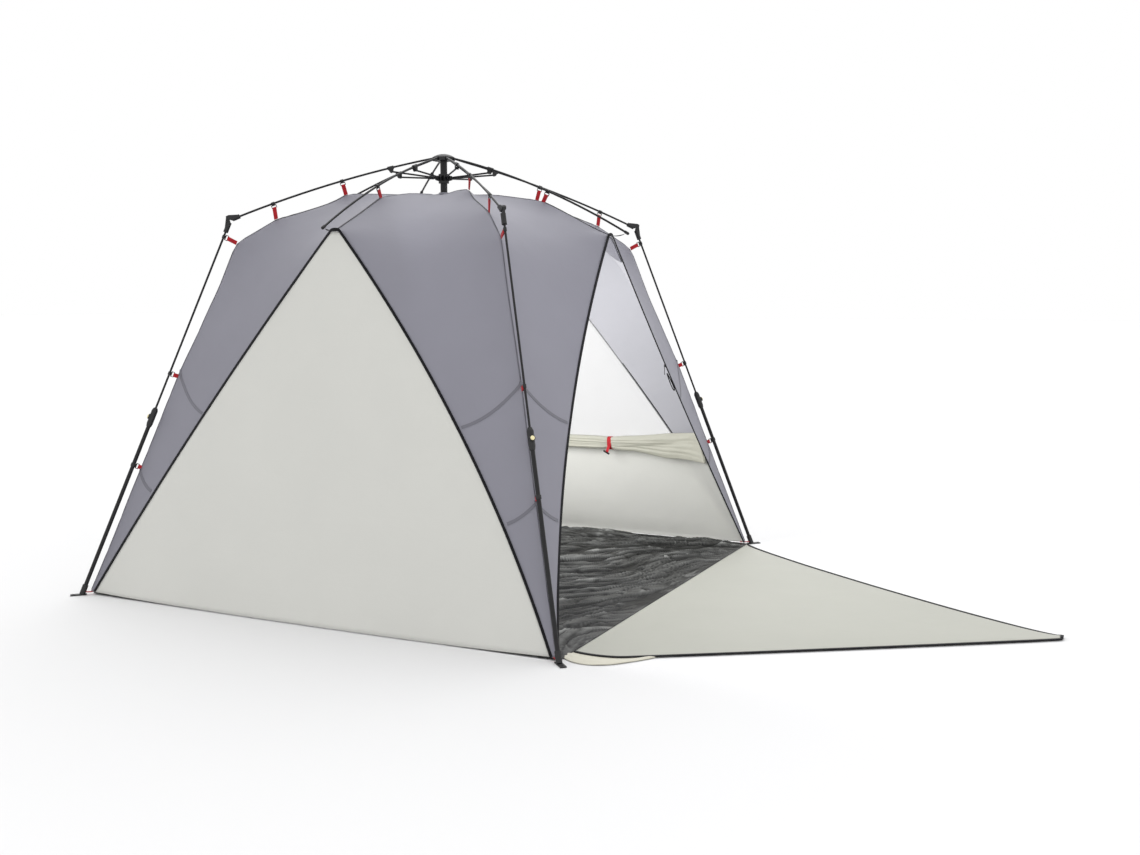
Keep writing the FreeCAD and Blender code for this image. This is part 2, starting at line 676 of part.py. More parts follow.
# --- Nodes --------------------------------------------------------------------------------------------
def build():
    """Every node of the shelter, by name."""
    nodes = {
        "crown_hub": crown_hub(),
        "crown_cap": crown_cap(),
        "centre_tube": centre_tube(),
        "runner": runner(),
        "roof_canopy": roof(),
        "groundsheet": groundsheet(),
        "front_door": front_door(),
        "window_roll": window_roll(),
        "window_mesh": wall(APEX_Z - 1, WINDOW_SILL + 2),
        "right_wall": wall(WINDOW_SILL - 2, SEAM_FOOT_Z),
        "rear_wall": turn(wall(APEX_Z - 1, SEAM_FOOT_Z), 90),
        "left_wall": turn(wall(APEX_Z - 1, SEAM_FOOT_Z), 180),
        "webbing_tabs": webbing_tabs(),
        "apex_ties": apex_ties(),
        "roll_toggles": roll_toggles(),
        "zip_sliders": zip_sliders(),
    }
    panel = corner_panel()
    corner_shapes = {
        "corner_rib": rib_rod(CORNER_RIB, CORNER_RIB.length - 12),
        "rib_fittings": corner_rib_fittings(),
        "corner_strut": strut(CORNER_RIB),
        "leg_rod": leg_rod(),
        "knee_socket": knee_socket(),
        "lower_tube": lower_tube(),
        "leg_fittings": leg_fittings(),
        "lock_button": push_button(),
    }
    side_shapes = {"side_rib": side_rib(), "side_strut": strut(SIDE_RIB)}
    for k, corner in enumerate(CORNERS):
        nodes["corner_panel_" + corner] = turn(panel, 90 * k)
        for name, shape in corner_shapes.items():
            nodes[name + "_" + corner] = turn(shape, 45 + 90 * k)
    for k, side in enumerate(SIDES):
        for name, shape in side_shapes.items():
            nodes[name + "_" + side] = turn(shape, 90 * k)
    return nodes


def main():
    os.makedirs("parts", exist_ok=True)
    for name, shape in build().items():
        shape.exportStep("parts/" + name + ".step")


if __name__ == "__main__":
    main()
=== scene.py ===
"""Looks of the pop-up tarp shelter: taut cloth, seams, webbing, mesh window and wrinkled floor.

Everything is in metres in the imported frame: origin on the ground under the crown, +Z up,
doorway facing -Y. The cloth of the canopy is form-found here from its tabs and seams.
"""

import math

import bmesh
import bpy
import numpy as np
from mathutils import Matrix, Vector
from mathutils.noise import noise


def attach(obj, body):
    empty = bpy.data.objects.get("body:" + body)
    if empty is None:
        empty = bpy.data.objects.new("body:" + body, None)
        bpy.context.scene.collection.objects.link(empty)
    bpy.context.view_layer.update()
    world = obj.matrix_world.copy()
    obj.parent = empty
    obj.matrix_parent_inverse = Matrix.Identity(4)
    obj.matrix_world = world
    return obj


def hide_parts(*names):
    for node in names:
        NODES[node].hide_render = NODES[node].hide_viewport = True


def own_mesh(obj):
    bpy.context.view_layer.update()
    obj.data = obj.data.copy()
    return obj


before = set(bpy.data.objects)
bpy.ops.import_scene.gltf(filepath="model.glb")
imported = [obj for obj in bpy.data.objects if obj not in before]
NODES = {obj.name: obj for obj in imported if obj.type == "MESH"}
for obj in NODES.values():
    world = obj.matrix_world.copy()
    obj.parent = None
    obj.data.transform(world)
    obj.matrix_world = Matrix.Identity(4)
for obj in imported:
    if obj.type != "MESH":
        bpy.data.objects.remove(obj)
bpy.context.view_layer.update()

# --- Driving dimensions -----------------------------------
CORNERS = ("rear_right", "rear_left", "front_left", "front_right")
APEX_R, APEX_Z = 0.840, 1.547  # top of each side's opening: out from the middle, up
APEX_HALF = 0.022  # half the width of that rounded top
SEAM_FOOT_OUT, SEAM_FOOT_ALONG, SEAM_FOOT_Z = 1.122, 1.105, 0.012
SEAM_HOLLOW, SEAM_SPREAD = 0.040, 0.065  # how far a seam bends in, and along its side
DOOR_HINGE_Y, DOOR_LENGTH, DOOR_TIP_X = -1.140, 1.587, -0.050
SILL_Z = 0.500  # bottom of the window
ROLL_Z = 0.510  # middle of its rolled cover
CLOTH = 0.0012
BINDING, BINDING_THICKNESS = 0.011, 0.0042
FLOOR_EDGE, FLOOR_CELLS = 1.117, 300
FLOOR_LOW, DOOR_LOW = 0.0036, 0.0040  # lowest part of the upper faces
ZIP_PULL_Z, ZIP_PULL_DROP = 0.920, 0.085
SKIN = 0.0006  # how far a tape stands off the cloth under it
SHARP_ANGLE = math.radians(40)

# Cloth under the ribs and beside the legs, as (out, up) in the radial plane of each. The cloth
# hangs from the tabs and dips between them.
CROWN_CLOTH = (0.024, 1.752)
SIDE_TAB = (0.514, 1.704)
RIB_TABS = ((0.452, 1.742), (0.762, 1.628))
LEG_TABS = ((0.936, 1.519), (1.199, 0.939), (1.362, 0.544))
MID_RIDGE = (CROWN_CLOTH, (0.270, 1.738), SIDE_TAB, (0.580, 1.671), (0.688, 1.619), (0.842, APEX_Z))
CORNER_RIDGE = (CROWN_CLOTH, (0.240, 1.748), RIB_TABS[0], (0.495, 1.712), (0.560, 1.688), RIB_TABS[1])
LEG_RIDGE = (RIB_TABS[1], (0.840, 1.577), LEG_TABS[0], (1.017, 1.317), LEG_TABS[1], LEG_TABS[2],
             (1.590, SEAM_FOOT_Z))


# --- Mesh tools -------------------------------------------
def mesh_object(name, points, faces, smooth=True):
    """A new object from points and faces, in place."""
    mesh = bpy.data.meshes.new(name)
    mesh.from_pydata([tuple(p) for p in points], [], faces)
    mesh.validate()
    mesh.update()
    obj = bpy.data.objects.new(name, mesh)
    bpy.context.collection.objects.link(obj)
    for polygon in mesh.polygons:
        polygon.use_smooth = smooth
    return obj


def bake(obj):
    """Apply every modifier, so that the mesh is final."""
    graph = bpy.context.evaluated_depsgraph_get()
    graph.update()
    mesh = bpy.data.meshes.new_from_object(obj.evaluated_get(graph))
    obj.modifiers.clear()
    obj.data = mesh
    for polygon in mesh.polygons:
        polygon.use_smooth = True
    return obj


def as_cloth(obj, levels, thickness=CLOTH, offset=-1.0, lined=0):
    """Subdivide a surface and give it thickness; lined=1 gives its inside the next material."""
    if levels:
        smooth = obj.modifiers.new("smooth", "SUBSURF")
        smooth.levels = smooth.render_levels = levels
        smooth.boundary_smooth = "PRESERVE_CORNERS"
    solid = obj.modifiers.new("thickness", "SOLIDIFY")
    solid.thickness = thickness
    solid.offset = offset
    solid.material_offset = lined
    return bake(obj)


def grid_faces(rows, columns):
    """Quads over a grid of points."""
    faces = []
    for i in range(rows - 1):
        for j in range(columns - 1):
            a = i * columns + j
            faces.append((a, a + columns, a + columns + 1, a + 1))
    return faces


def tube_faces(rings, sides):
    """Quads between closed rings of points that follow each other."""
    faces = []
    for i in range(rings - 1):
        for k in range(sides):
            a, b = i * sides + k, i * sides + (k + 1) % sides
            faces.append((a, b, b + sides, a + sides))
    return faces


def grid_object(name, grid, thickness):
    """A cloth sheet over a grid of points, an array of rows x columns x 3."""
    obj = mesh_object(name, grid.reshape(-1, 3), grid_faces(*grid.shape[:2]))
    return as_cloth(obj, 1, thickness)


def ribbon(name, path, across, width, thickness, square=True):
    """A flat strap along a path; across gives the direction of its width at each point.

    The width is turned square to the path, unless the strap's ends are cut on a slant.
    """
    path = [Vector(p) for p in path]
    points = []
    for i, point in enumerate(path):
        ahead = path[min(i + 1, len(path) - 1)] - path[max(i - 1, 0)]
        ahead.normalize()
        side = Vector(across[i])
        if square:
            side -= ahead * side.dot(ahead)
        side.normalize()
        up = ahead.cross(side).normalized()
        for u, v in ((-0.5, -0.5), (-0.46, 0.5), (0.46, 0.5), (0.5, -0.5)):
            points.append(point + side * width * u + up * thickness * v)
    last = 4 * (len(path) - 1)
    faces = tube_faces(len(path), 4) + [(3, 2, 1, 0), (last, last + 1, last + 2, last + 3)]
    obj = mesh_object(name, points, faces)
    mark_sharp(obj)
    return obj


def rope(name, path, radius, sides):
    """A round cord along a path of points, closed at its ends."""
    path = [Vector(p) for p in path]
    points = []
    side = None
    for i, point in enumerate(path):
        ahead = (path[min(i + 1, len(path) - 1)] - path[max(i - 1, 0)]).normalized()
        if side is None:
            side = ahead.orthogonal().normalized()
        side = (side - ahead * side.dot(ahead)).normalized()
        up = ahead.cross(side)
        for k in range(sides):
            a = 2 * math.pi * k / sides
            points.append(point + side * math.cos(a) * radius + up * math.sin(a) * radius)
    last = sides * (len(path) - 1)
    ends = [tuple(range(sides - 1, -1, -1)), tuple(range(last, last + sides))]
    return mesh_object(name, points, tube_faces(len(path), sides) + ends)


def mark_sharp(obj):
    """Keep edges that turn sharply crisp under smooth shading."""
    mesh = bmesh.new()
    mesh.from_mesh(obj.data)
    for edge in mesh.edges:
        edge.smooth = not (edge.is_manifold and edge.calc_face_angle() > SHARP_ANGLE)
    mesh.to_mesh(obj.data)
    mesh.free()


def join(name, objects):
    """One object from several, with one material."""
    bpy.context.view_layer.update()
    mesh = bmesh.new()
    for obj in objects:
        mesh.from_mesh(obj.data)
    data = bpy.data.meshes.new(name)
    mesh.to_mesh(data)
    mesh.free()
    for obj in objects:
        bpy.data.objects.remove(obj)
    joined = bpy.data.objects.new(name, data)
    bpy.context.collection.objects.link(joined)
    return joined


def turned(points, degrees):
    """Points turned about the vertical axis."""
    a = math.radians(degrees)
    matrix = np.array([[math.cos(a), math.sin(a), 0], [-math.sin(a), math.cos(a), 0], [0, 0, 1]])
    return np.asarray(points, float) @ matrix


def polyline(points, fraction):
    """A point at a fraction of a polyline's length."""
    points = np.asarray(points, float)
    steps = np.linalg.norm(np.diff(points, axis=0), axis=1)
    at = np.concatenate([[0], np.cumsum(steps)]) / steps.sum()
    return np.array([np.interp(fraction, at, points[:, k]) for k in range(points.shape[1])])


def rounded(points):
    """The polyline with its corners cut three times over, which makes it a smooth curve."""
    points = np.asarray(points, float)
    for _ in range(3):
        early = points[:-1] * 0.75 + points[1:] * 0.25
        late = points[:-1] * 0.25 + points[1:] * 0.75
        middle = np.stack([early, late], axis=1).reshape(-1, points.shape[1])
        points = np.vstack([points[:1], middle[1:-1], points[-1:]])
    return points


def on_surface(obj, point):
    """A place just off the outside of a finished mesh near a point, and the normal there."""
    point = Vector(point)
    outward = Vector((point.x, point.y, 0)).normalized() * 0.02 + Vector((0, 0, 0.02))
    _, place, normal, _ = obj.closest_point_on_mesh(point + outward)
    return np.array(place + normal * SKIN), np.array(normal)


def islands(node):
    """The separate solids of a CAD node, each an array of its points."""
    mesh = bmesh.new()
    mesh.from_mesh(NODES[node].data)
    bmesh.ops.remove_doubles(mesh, verts=mesh.verts, dist=1e-6)
    seen, found = set(), []
    for start in mesh.verts:
        if start in seen:
            continue
        stack, group = [start], []
        seen.add(start)
        while stack:
            vert = stack.pop()
            group.append(tuple(vert.co))
            for edge in vert.link_edges:
                other = edge.other_vert(vert)
                if other not in seen:
                    seen.add(other)
                    stack.append(other)
        found.append(np.array(group))
    mesh.free()
    return found


def paint(obj, mat):
    """Give an object one material."""
    obj.data.materials.clear()
    obj.data.materials.append(mat)


# --- Materials --------------------------------------------
def material(name, color, roughness, sheen=0.0, coat=0.0):
    """A Principled material and its nodes."""
    mat = bpy.data.materials.new(name)
    mat.use_nodes = True
    shader = shader_of(mat)
    shader.inputs["Base Color"].default_value = (*color, 1)
    shader.inputs["Roughness"].default_value = roughness
    shader.inputs["Sheen Weight"].default_value = sheen
    shader.inputs["Coat Weight"].default_value = coat
    mat.diffuse_color = (*color, 1)
    return mat


def shader_of(mat):
    """The Principled node of a material."""
    return mat.node_tree.nodes["Principled BSDF"]


def add(mat, kind, **inputs):
    """A new node with some of its sockets set."""
    node = mat.node_tree.nodes.new(kind)
    for key, value in inputs.items():
        node.inputs[key.replace("_", " ")].default_value = value
    return node


def link(mat, source, target):
    """Join two sockets."""
    mat.node_tree.links.new(source, target)


def vary(mat, color, low, high, scale, detail=4.0):
    """Mottle the base colour between two brightnesses with noise."""
    place = add(mat, "ShaderNodeTexCoord")
    cloud = add(mat, "ShaderNodeTexNoise", Scale=scale, Detail=detail, Roughness=0.6)
    ramp = add(mat, "ShaderNodeValToRGB")
    ramp.color_ramp.elements[0].position = 0.3
    ramp.color_ramp.elements[1].position = 0.7
    ramp.color_ramp.elements[0].color = (*[c * low for c in color], 1)
    ramp.color_ramp.elements[1].color = (*[c * high for c in color], 1)
    link(mat, place.outputs["Object"], cloud.inputs["Vector"])
    link(mat, cloud.outputs["Fac"], ramp.inputs["Fac"])
    link(mat, ramp.outputs["Color"], shader_of(mat).inputs["Base Color"])
    return place, cloud


def weave_bump(mat, place, pitch, strength, creases=0.0):
    """Bump of a plain weave with threads one pitch apart, with soft creases."""
    shader = shader_of(mat)
    height = None
    for axis in ("X", "Y", "Z"):
        wave = add(mat, "ShaderNodeTexWave", Scale=0.314 / pitch * 0.1, Distortion=1.5, Detail=1.0)
        wave.bands_direction = axis
        link(mat, place.outputs["Object"], wave.inputs["Vector"])
        if height is None:
            height = wave.outputs["Fac"]
        else:
            both = add(mat, "ShaderNodeMath")
            both.operation = "MAXIMUM"
            link(mat, height, both.inputs[0])
            link(mat, wave.outputs["Fac"], both.inputs[1])
            height = both.outputs[0]
    fine = add(mat, "ShaderNodeBump", Strength=strength, Distance=pitch * 0.4)
    link(mat, height, fine.inputs["Height"])
    if creases:
        cloud = add(mat, "ShaderNodeTexNoise", Scale=7.0, Detail=5.0, Roughness=0.55, Distortion=0.6)
        link(mat, place.outputs["Object"], cloud.inputs["Vector"])
        coarse = add(mat, "ShaderNodeBump", Strength=creases, Distance=0.02)
        link(mat, cloud.outputs["Fac"], coarse.inputs["Height"])
        link(mat, coarse.outputs["Normal"], fine.inputs["Normal"])
    link(mat, fine.outputs["Normal"], shader.inputs["Normal"])


def grain_bump(mat, place, scale, strength, distance):
    """Bump of a fine hard grain."""
    grain = add(mat, "ShaderNodeTexNoise", Scale=scale, Detail=2.0)
    bump = add(mat, "ShaderNodeBump", Strength=strength, Distance=distance)
    link(mat, place.outputs["Object"], grain.inputs["Vector"])
    link(mat, grain.outputs["Fac"], bump.inputs["Height"])
    link(mat, bump.outputs["Normal"], shader_of(mat).inputs["Normal"])


def let_light_through(mat, color, share):
    """Mix in light from the far side, as thin cloth shows it."""
    tree = mat.node_tree
    shader = tree.nodes["Principled BSDF"]
    glow = add(mat, "ShaderNodeBsdfTranslucent", Color=(*color, 1))
    mix = add(mat, "ShaderNodeMixShader", Fac=share)
    link(mat, shader.outputs["BSDF"], mix.inputs[1])
    link(mat, glow.outputs["BSDF"], mix.inputs[2])
    link(mat, mix.outputs["Shader"], tree.nodes["Material Output"].inputs["Surface"])


def cloth_material(name, color, glow, share, mottle=0.03, creases=0.10):
    """Thin woven cloth: glow is the light that comes through, and share how much of it does."""
    mat = material(name, color, roughness=0.62, sheen=0.15)
    place, _ = vary(mat, color, 1 - mottle, 1 + mottle, 2.2)
    weave_bump(mat, place, 0.0009, 0.25, creases)
    let_light_through(mat, glow, share)
    return mat


def floor_material():
    """Coated woven sheet, dark and slightly glossy; its colour is scaled by the painted crease shade and
    highlight kept on the mesh.
    """
    color = (0.056, 0.057, 0.055)
    mat = material("groundsheet_woven", color, roughness=0.42)
    shader_of(mat).inputs["Specular IOR Level"].default_value = 0.20
    place, _ = vary(mat, color, 0.85, 1.15, 9.0, 6.0)
    base = shader_of(mat).inputs["Base Color"]
    # Painted shade and highlight of the creases, read from the mesh, scale the base colour.
    painted_light = add(mat, "ShaderNodeAttribute")
    painted_light.attribute_name = "crease_shade_and_highlight"
    shade = add(mat, "ShaderNodeVectorMath")
    shade.operation = "SCALE"
    link(mat, base.links[0].from_socket, shade.inputs[0])
    link(mat, painted_light.outputs["Fac"], shade.inputs["Scale"])
    link(mat, shade.outputs["Vector"], base)
    weave_bump(mat, place, 0.0025, 0.35, 0.35)
    return mat


def webbing_material(name, color, sheen, specular):
    """Woven narrow tape."""
    mat = material(name, color, roughness=0.7, sheen=sheen)
    shader_of(mat).inputs["Specular IOR Level"].default_value = specular
    place, _ = vary(mat, color, 0.8, 1.2, 60.0)
    weave_bump(mat, place, 0.0012, 0.6)
    return mat


def metal_material(name, color, roughness):
    """Painted or coated tube, with faint streaks and worn spots."""
    mat = material(name, color, roughness=roughness, coat=0.08)
    shader_of(mat).inputs["Specular IOR Level"].default_value = 0.3
    place, cloud = vary(mat, color, 0.75, 1.5, 35.0, 6.0)
    rough = add(mat, "ShaderNodeMapRange", To_Min=roughness - 0.08, To_Max=roughness + 0.14)
    link(mat, cloud.outputs["Fac"], rough.inputs["Value"])
    link(mat, rough.outputs["Result"], shader_of(mat).inputs["Roughness"])
    grain_bump(mat, place, 900.0, 0.06, 0.0004)
    return mat


def plastic_material(name, color, roughness=0.5):
    """Moulded plastic with a fine spark-eroded grain."""
    mat = material(name, color, roughness=roughness)
    place, _ = vary(mat, color, 0.85, 1.25, 50.0)
    grain_bump(mat, place, 1500.0, 0.15, 0.0003)
    return mat


def mesh_material():
    """Very fine pale netting: mostly see-through."""
    color = (0.75, 0.75, 0.75)
    mat = material("window_netting", color, roughness=0.7)
    place, _ = vary(mat, color, 0.97, 1.03, 3.0)
    weave_bump(mat, place, 0.0012, 0.3)
    let_light_through(mat, color, 0.5)
    shader_of(mat).inputs["Alpha"].default_value = 0.42
    return mat


GREY = cloth_material("grey_polyester", (0.309, 0.305, 0.355), (0.43, 0.43, 0.482), 0.25)
# The canopy's inside face: the same grey cloth with a lighter base colour, painted light for the backlight
# that comes through it.
GREY_INSIDE_LIT = cloth_material("grey_inside_painted_light", (0.50, 0.50, 0.53), (0.45, 0.45, 0.505), 0.25)
BEIGE = cloth_material("beige_polyester", (0.77, 0.77, 0.73), (0.60, 0.60, 0.56), 0.20, 0.015)
ROLLED = cloth_material("beige_rolled", (0.43, 0.425, 0.355), (0.6, 0.6, 0.52), 0.06, 0.05, 0.3)
DOOR = cloth_material("beige_door", (0.402, 0.405, 0.355), (0.5, 0.5, 0.45), 0.05, 0.02)
HEM = cloth_material("cream_hem", (0.62, 0.60, 0.50), (0.5, 0.5, 0.45), 0.05, 0.03)
TAPE = cloth_material("grey_tape", (0.185, 0.183, 0.215), (0.2, 0.2, 0.22), 0.15)
# Near black: the seams over the ribs, darkened with painted shade of the crease along them.
SEAM_AND_SHADE = cloth_material("seam_and_painted_shade", (0.030, 0.030, 0.036), (0.1, 0.1, 0.1), 0.05)
FLOOR = floor_material()
RED = webbing_material("red_webbing", (0.40, 0.008, 0.015), 0.1, 0.3)
BLACK_TAPE = webbing_material("black_binding", (0.008, 0.008, 0.010), 0.05, 0.15)
TUBE = metal_material("black_tube", (0.007, 0.007, 0.008), 0.38)
ROD = metal_material("glass_fibre_rod", (0.009, 0.009, 0.010), 0.42)
PLASTIC = plastic_material("black_nylon", (0.009, 0.009, 0.010))
CREAM = plastic_material("cream_button", (0.80, 0.72, 0.42), 0.35)
NETTING = mesh_material()


# --- Shape of the canopy ----------------------------------
def seam(fraction):
    """Distance out, distance along the side and height of a seam, from apex to foot."""
    bulge = 4 * fraction * (1 - fraction)
    out = APEX_R + (SEAM_FOOT_OUT - APEX_R) * fraction - SEAM_HOLLOW * bulge
    side = APEX_HALF + (SEAM_FOOT_ALONG - APEX_HALF) * fraction + SEAM_SPREAD * bulge
    return out, side, APEX_Z + (SEAM_FOOT_Z - APEX_Z) * fraction


def seam_at_height(z):
    """The same three measures of a seam, at a height above the ground."""
    return seam((APEX_Z - z) / (APEX_Z - SEAM_FOOT_Z))


def tab_frames():
    """Each red tab of the canopy: azimuth, ring, cloth end and way along its rod, in its plane."""
    found = []
    for points in islands("webbing_tabs"):
        azimuth = math.degrees(math.atan2(points[:, 1].mean(), points[:, 0].mean()))
        azimuth = round(azimuth / 45) * 45
        plane = turned(points, -azimuth)[:, [0, 2]]
        if plane[:, 1].max() < 0.05:
            continue
        centre = plane.mean(axis=0)
        cloth = np.array(min((SIDE_TAB, *RIB_TABS, *LEG_TABS), key=lambda p: math.dist(p, centre)))
        reach = np.linalg.norm(cloth - centre)
        way = (cloth - centre) / reach
        low = plane[(plane - centre) @ way > 0]
        along = np.linalg.svd(low - low.mean(axis=0))[2][0]
        found.append((azimuth, centre - way * (reach + 0.005), cloth, along))
    return found


HALF_COLUMNS = 12  # grid columns in an eighth of the canopy
ROOF_ROWS = 16
PANEL_ROWS = 36


def relax(points, edges, fixed, rounds):
    """Pull every free point to the mean of its neighbours: a net under even tension."""
    a, b = edges[:, 0], edges[:, 1]
    count = len(points)
    total = (np.bincount(a, minlength=count) + np.bincount(b, minlength=count))[:, None]
    points = points.copy()
    keep = points[fixed].copy()
    for _ in range(rounds):
        new = np.zeros_like(points)
        for k in range(3):
            new[:, k] = np.bincount(a, points[b, k], count) + np.bincount(b, points[a, k], count)
        points = 0.1 * points + 0.9 * new / total
        points[fixed] = keep
    return points


def profile(ridge, tab, rows):
    """Points of a ridge for every row, with its inner tab on the middle row."""
    split = ridge.index(tab)
    half = rows // 2
    inner = [polyline(ridge[:split + 1], i / half) for i in range(half)]
    return inner + [polyline(ridge[split:], i / half) for i in range(half + 1)]


def roof_rings():
    """Rows of points of the roof, straight between the ridges, from the crown to the eave."""
    m = HALF_COLUMNS
    rings = []
    middles = profile(MID_RIDGE, SIDE_TAB, ROOF_ROWS)
    corners = profile(CORNER_RIDGE, RIB_TABS[0], ROOF_ROWS)
    for i, (middle, corner) in enumerate(zip(middles, corners)):
        ring = []
        for k in range(8):
            first, last = (middle, corner) if k % 2 == 0 else (corner, middle)
            start = turned([[first[0], 0, first[1]]], 45 * k)[0]
            end = turned([[last[0], 0, last[1]]], 45 * k + 45)[0]
            edge = APEX_HALF / np.linalg.norm(end - start) if i == ROOF_ROWS else 0
            for s in range(m):
                share = s / m
                if edge and k % 2 == 0 and s:
                    share = edge + (1 - edge) * (s - 1) / (m - 1)
                if edge and k % 2 == 1:
                    share = (1 - edge) * s / (m - 1)
                ring.append(start + (end - start) * share)
        rings.append(ring)
    return rings


def panel_row(k, i):
    """Row i of corner panel k: from one seam straight to the leg's ridge and to the other seam."""
    m = HALF_COLUMNS
    out, side, z = seam(i / PANEL_ROWS)
    flat = polyline(LEG_RIDGE, i / PANEL_ROWS)
    left, right = np.array([out, side, z]), np.array([side, out, z])
    ridge = np.array([flat[0] * math.sqrt(0.5), flat[0] * math.sqrt(0.5), flat[1]])
    row = [left + (ridge - left) * j / (m - 1) for j in range(m)]
    row += [ridge + (right - ridge) * j / (m - 1) for j in range(1, m)]
    return turned(row, 90 * k)


def canopy_net():
    """The whole canopy as one net: roof rings, then four corner panels below the eave.

    Returns the relaxed points, the faces, the ridge lines and each panel's grid, the last two
    as numbers of points.
    """
    m = HALF_COLUMNS
    ring = 8 * m
    points, faces, edges = [], [], []
    for row in roof_rings():
        points.extend(row)
    roof = np.arange(len(points)).reshape(ROOF_ROWS + 1, ring)
    eave = roof[ROOF_ROWS]
    fixed = set(roof[0])
    ridges = [list(roof[:, k * m]) for k in range(8)]
    for k in (0, 2, 4, 6):
        for step in (-1, 1):
            number = eave[(k * m + step) % ring]
            fixed.add(number)
            points[number] = turned([[APEX_R, step * APEX_HALF, APEX_Z]], 45 * k)[0]
    for i in range(ROOF_ROWS + 1):
        for j in range(ring):
            following = (j + 1) % ring
            edges.append((roof[i, j], roof[i, following]))
            if i < ROOF_ROWS:
                edges.append((roof[i, j], roof[i + 1, j]))
                faces.append((roof[i, j], roof[i + 1, j], roof[i + 1, following], roof[i, following]))

    panels = []
    for k in range(4):
        start = k * 2 * m + 1
        panel = [[eave[(start + j) % ring] for j in range(2 * m - 1)]]
        for i in range(1, PANEL_ROWS + 1):
            first = len(points)
            points.extend(panel_row(k, i))
            panel.append(list(range(first, first + 2 * m - 1)))
        panel = np.array(panel)
        ridges[2 * k + 1] += list(panel[1:, m - 1])
        fixed.update(panel[:, 0])
        fixed.update(panel[:, -1])
        fixed.update(panel[-1])
        for i in range(PANEL_ROWS + 1):
            for j in range(2 * m - 1):
                if j < 2 * m - 2 and i:
                    edges.append((panel[i, j], panel[i, j + 1]))
                if i < PANEL_ROWS:
                    edges.append((panel[i, j], panel[i + 1, j]))
                if i < PANEL_ROWS and j < 2 * m - 2:
                    faces.append((panel[i, j], panel[i + 1, j], panel[i + 1, j + 1], panel[i, j + 1]))
        panels.append(panel)
    for ridge in ridges:
        fixed.update(ridge)
    net = relax(np.array(points), np.array(edges), sorted(fixed), 600)
    return net, faces, ridges, panels


def crease(obj, lines, weight):
    """Keep the lines of points crisp when the mesh is subdivided."""
    pairs = {tuple(sorted(pair)) for line in lines for pair in zip(line, line[1:])}
    mark = obj.data.attributes.new("crease_edge", "FLOAT", "EDGE")
    for edge in obj.data.edges:
        if tuple(sorted(edge.vertices)) in pairs:
            mark.data[edge.index].value = weight


def ripple(point, size, amount, seed):
    """A smooth offset that repeats nowhere on the cloth."""
    return amount * noise(Vector(point) / size + Vector((seed, seed * 1.7, seed * 0.3)))


def roughen(obj, amounts, seed):
    """Move points along their normals by a few scales of noise; open edges stay put."""
    mesh = obj.data
    border = set()
    counts = {}
    for polygon in mesh.polygons:
        for key in polygon.edge_keys:
            counts[key] = counts.get(key, 0) + 1
    for (a, b), uses in counts.items():
        if uses == 1:
            border.update((a, b))
    for vertex in mesh.vertices:
        if vertex.index in border:
            continue
        move = sum(ripple(vertex.co, size, amount, seed) for size, amount in amounts)
        vertex.co += vertex.normal * move


def on_canopy(obj, mat, slot, *nodes):
    """Finish a cloth piece of the canopy: its material and its body."""
    if mat:
        paint(obj, mat)
    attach(obj, "canopy")
    if nodes:
        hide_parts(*nodes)
    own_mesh(obj)
    return obj


def make_canopy():
    """The grey cloth, in one piece from the crown to the four corners."""
    net, faces, ridges, panels = canopy_net()
    obj = mesh_object("grey_canopy", net, faces)
    roughen(obj, ((0.40, 0.006), (0.13, 0.0022)), 3.1)
    crease(obj, [[int(n) for n in ridge] for ridge in ridges], 0.9)
    obj.data.materials.append(GREY)
    # The inside takes the lighter grey: painted light for the backlight.
    obj.data.materials.append(GREY_INSIDE_LIT)
    as_cloth(obj, 2, lined=1)
    on_canopy(obj, None, "grey_cloth", "roof_canopy", *["corner_panel_" + c for c in CORNERS])
    return obj, net, ridges, panels


def strip_on(canopy, path, width, thickness):
    """A tape or seam laid on the canopy along a path near it."""
    laid = [on_surface(canopy, point) for point in path]
    places = np.array([place for place, _ in laid])
    across = np.cross(np.gradient(places, axis=0), np.array([normal for _, normal in laid]))
    return ribbon("strip", places, across, width, thickness)


def make_ridge_seams(canopy, net, ridges):
    """Stitched seams over the ribs, darkened to near black with painted shade of the crease along them, and
    a pair of faint rows of stitches down each leg.
    """
    dark, faint = [], []
    for k, ridge in enumerate(ridges):
        line = net[ridge[:ROOF_ROWS + 1]]
        # From the tab to the eave: a seam carrying painted crease shade.
        dark.append(strip_on(canopy, line[ROOF_ROWS // 2:], 0.0055, 0.0024))
        faint.append(strip_on(canopy, line[1:ROOF_ROWS // 2 + 1], 0.0045, 0.0016))
        if k % 2:
            away = turned([[0, 1, 0]], 45 * k)[0]
            for sign in (-1, 1):
                line = net[ridge[ROOF_ROWS:]] + away * 0.009 * sign
                faint.append(strip_on(canopy, line, 0.0032, 0.0014))
    on_canopy(join("ridge_seams_and_shade", dark), SEAM_AND_SHADE, "grey_cloth")
    on_canopy(join("ridge_stitching", faint), TAPE, "grey_cloth")


def panel_point(net, panel, row, column):
    """A point of the relaxed panel at fractional row and column."""
    i, j = min(int(row), len(panel) - 2), min(int(column), len(panel[0]) - 2)
    u, v = row - i, column - j
    corners = [net[panel[i][j]], net[panel[i + 1][j]], net[panel[i][j + 1]], net[panel[i + 1][j + 1]]]
    return (corners[0] * (1 - u) + corners[1] * u) * (1 - v) + (corners[2] * (1 - u) + corners[3] * u) * v


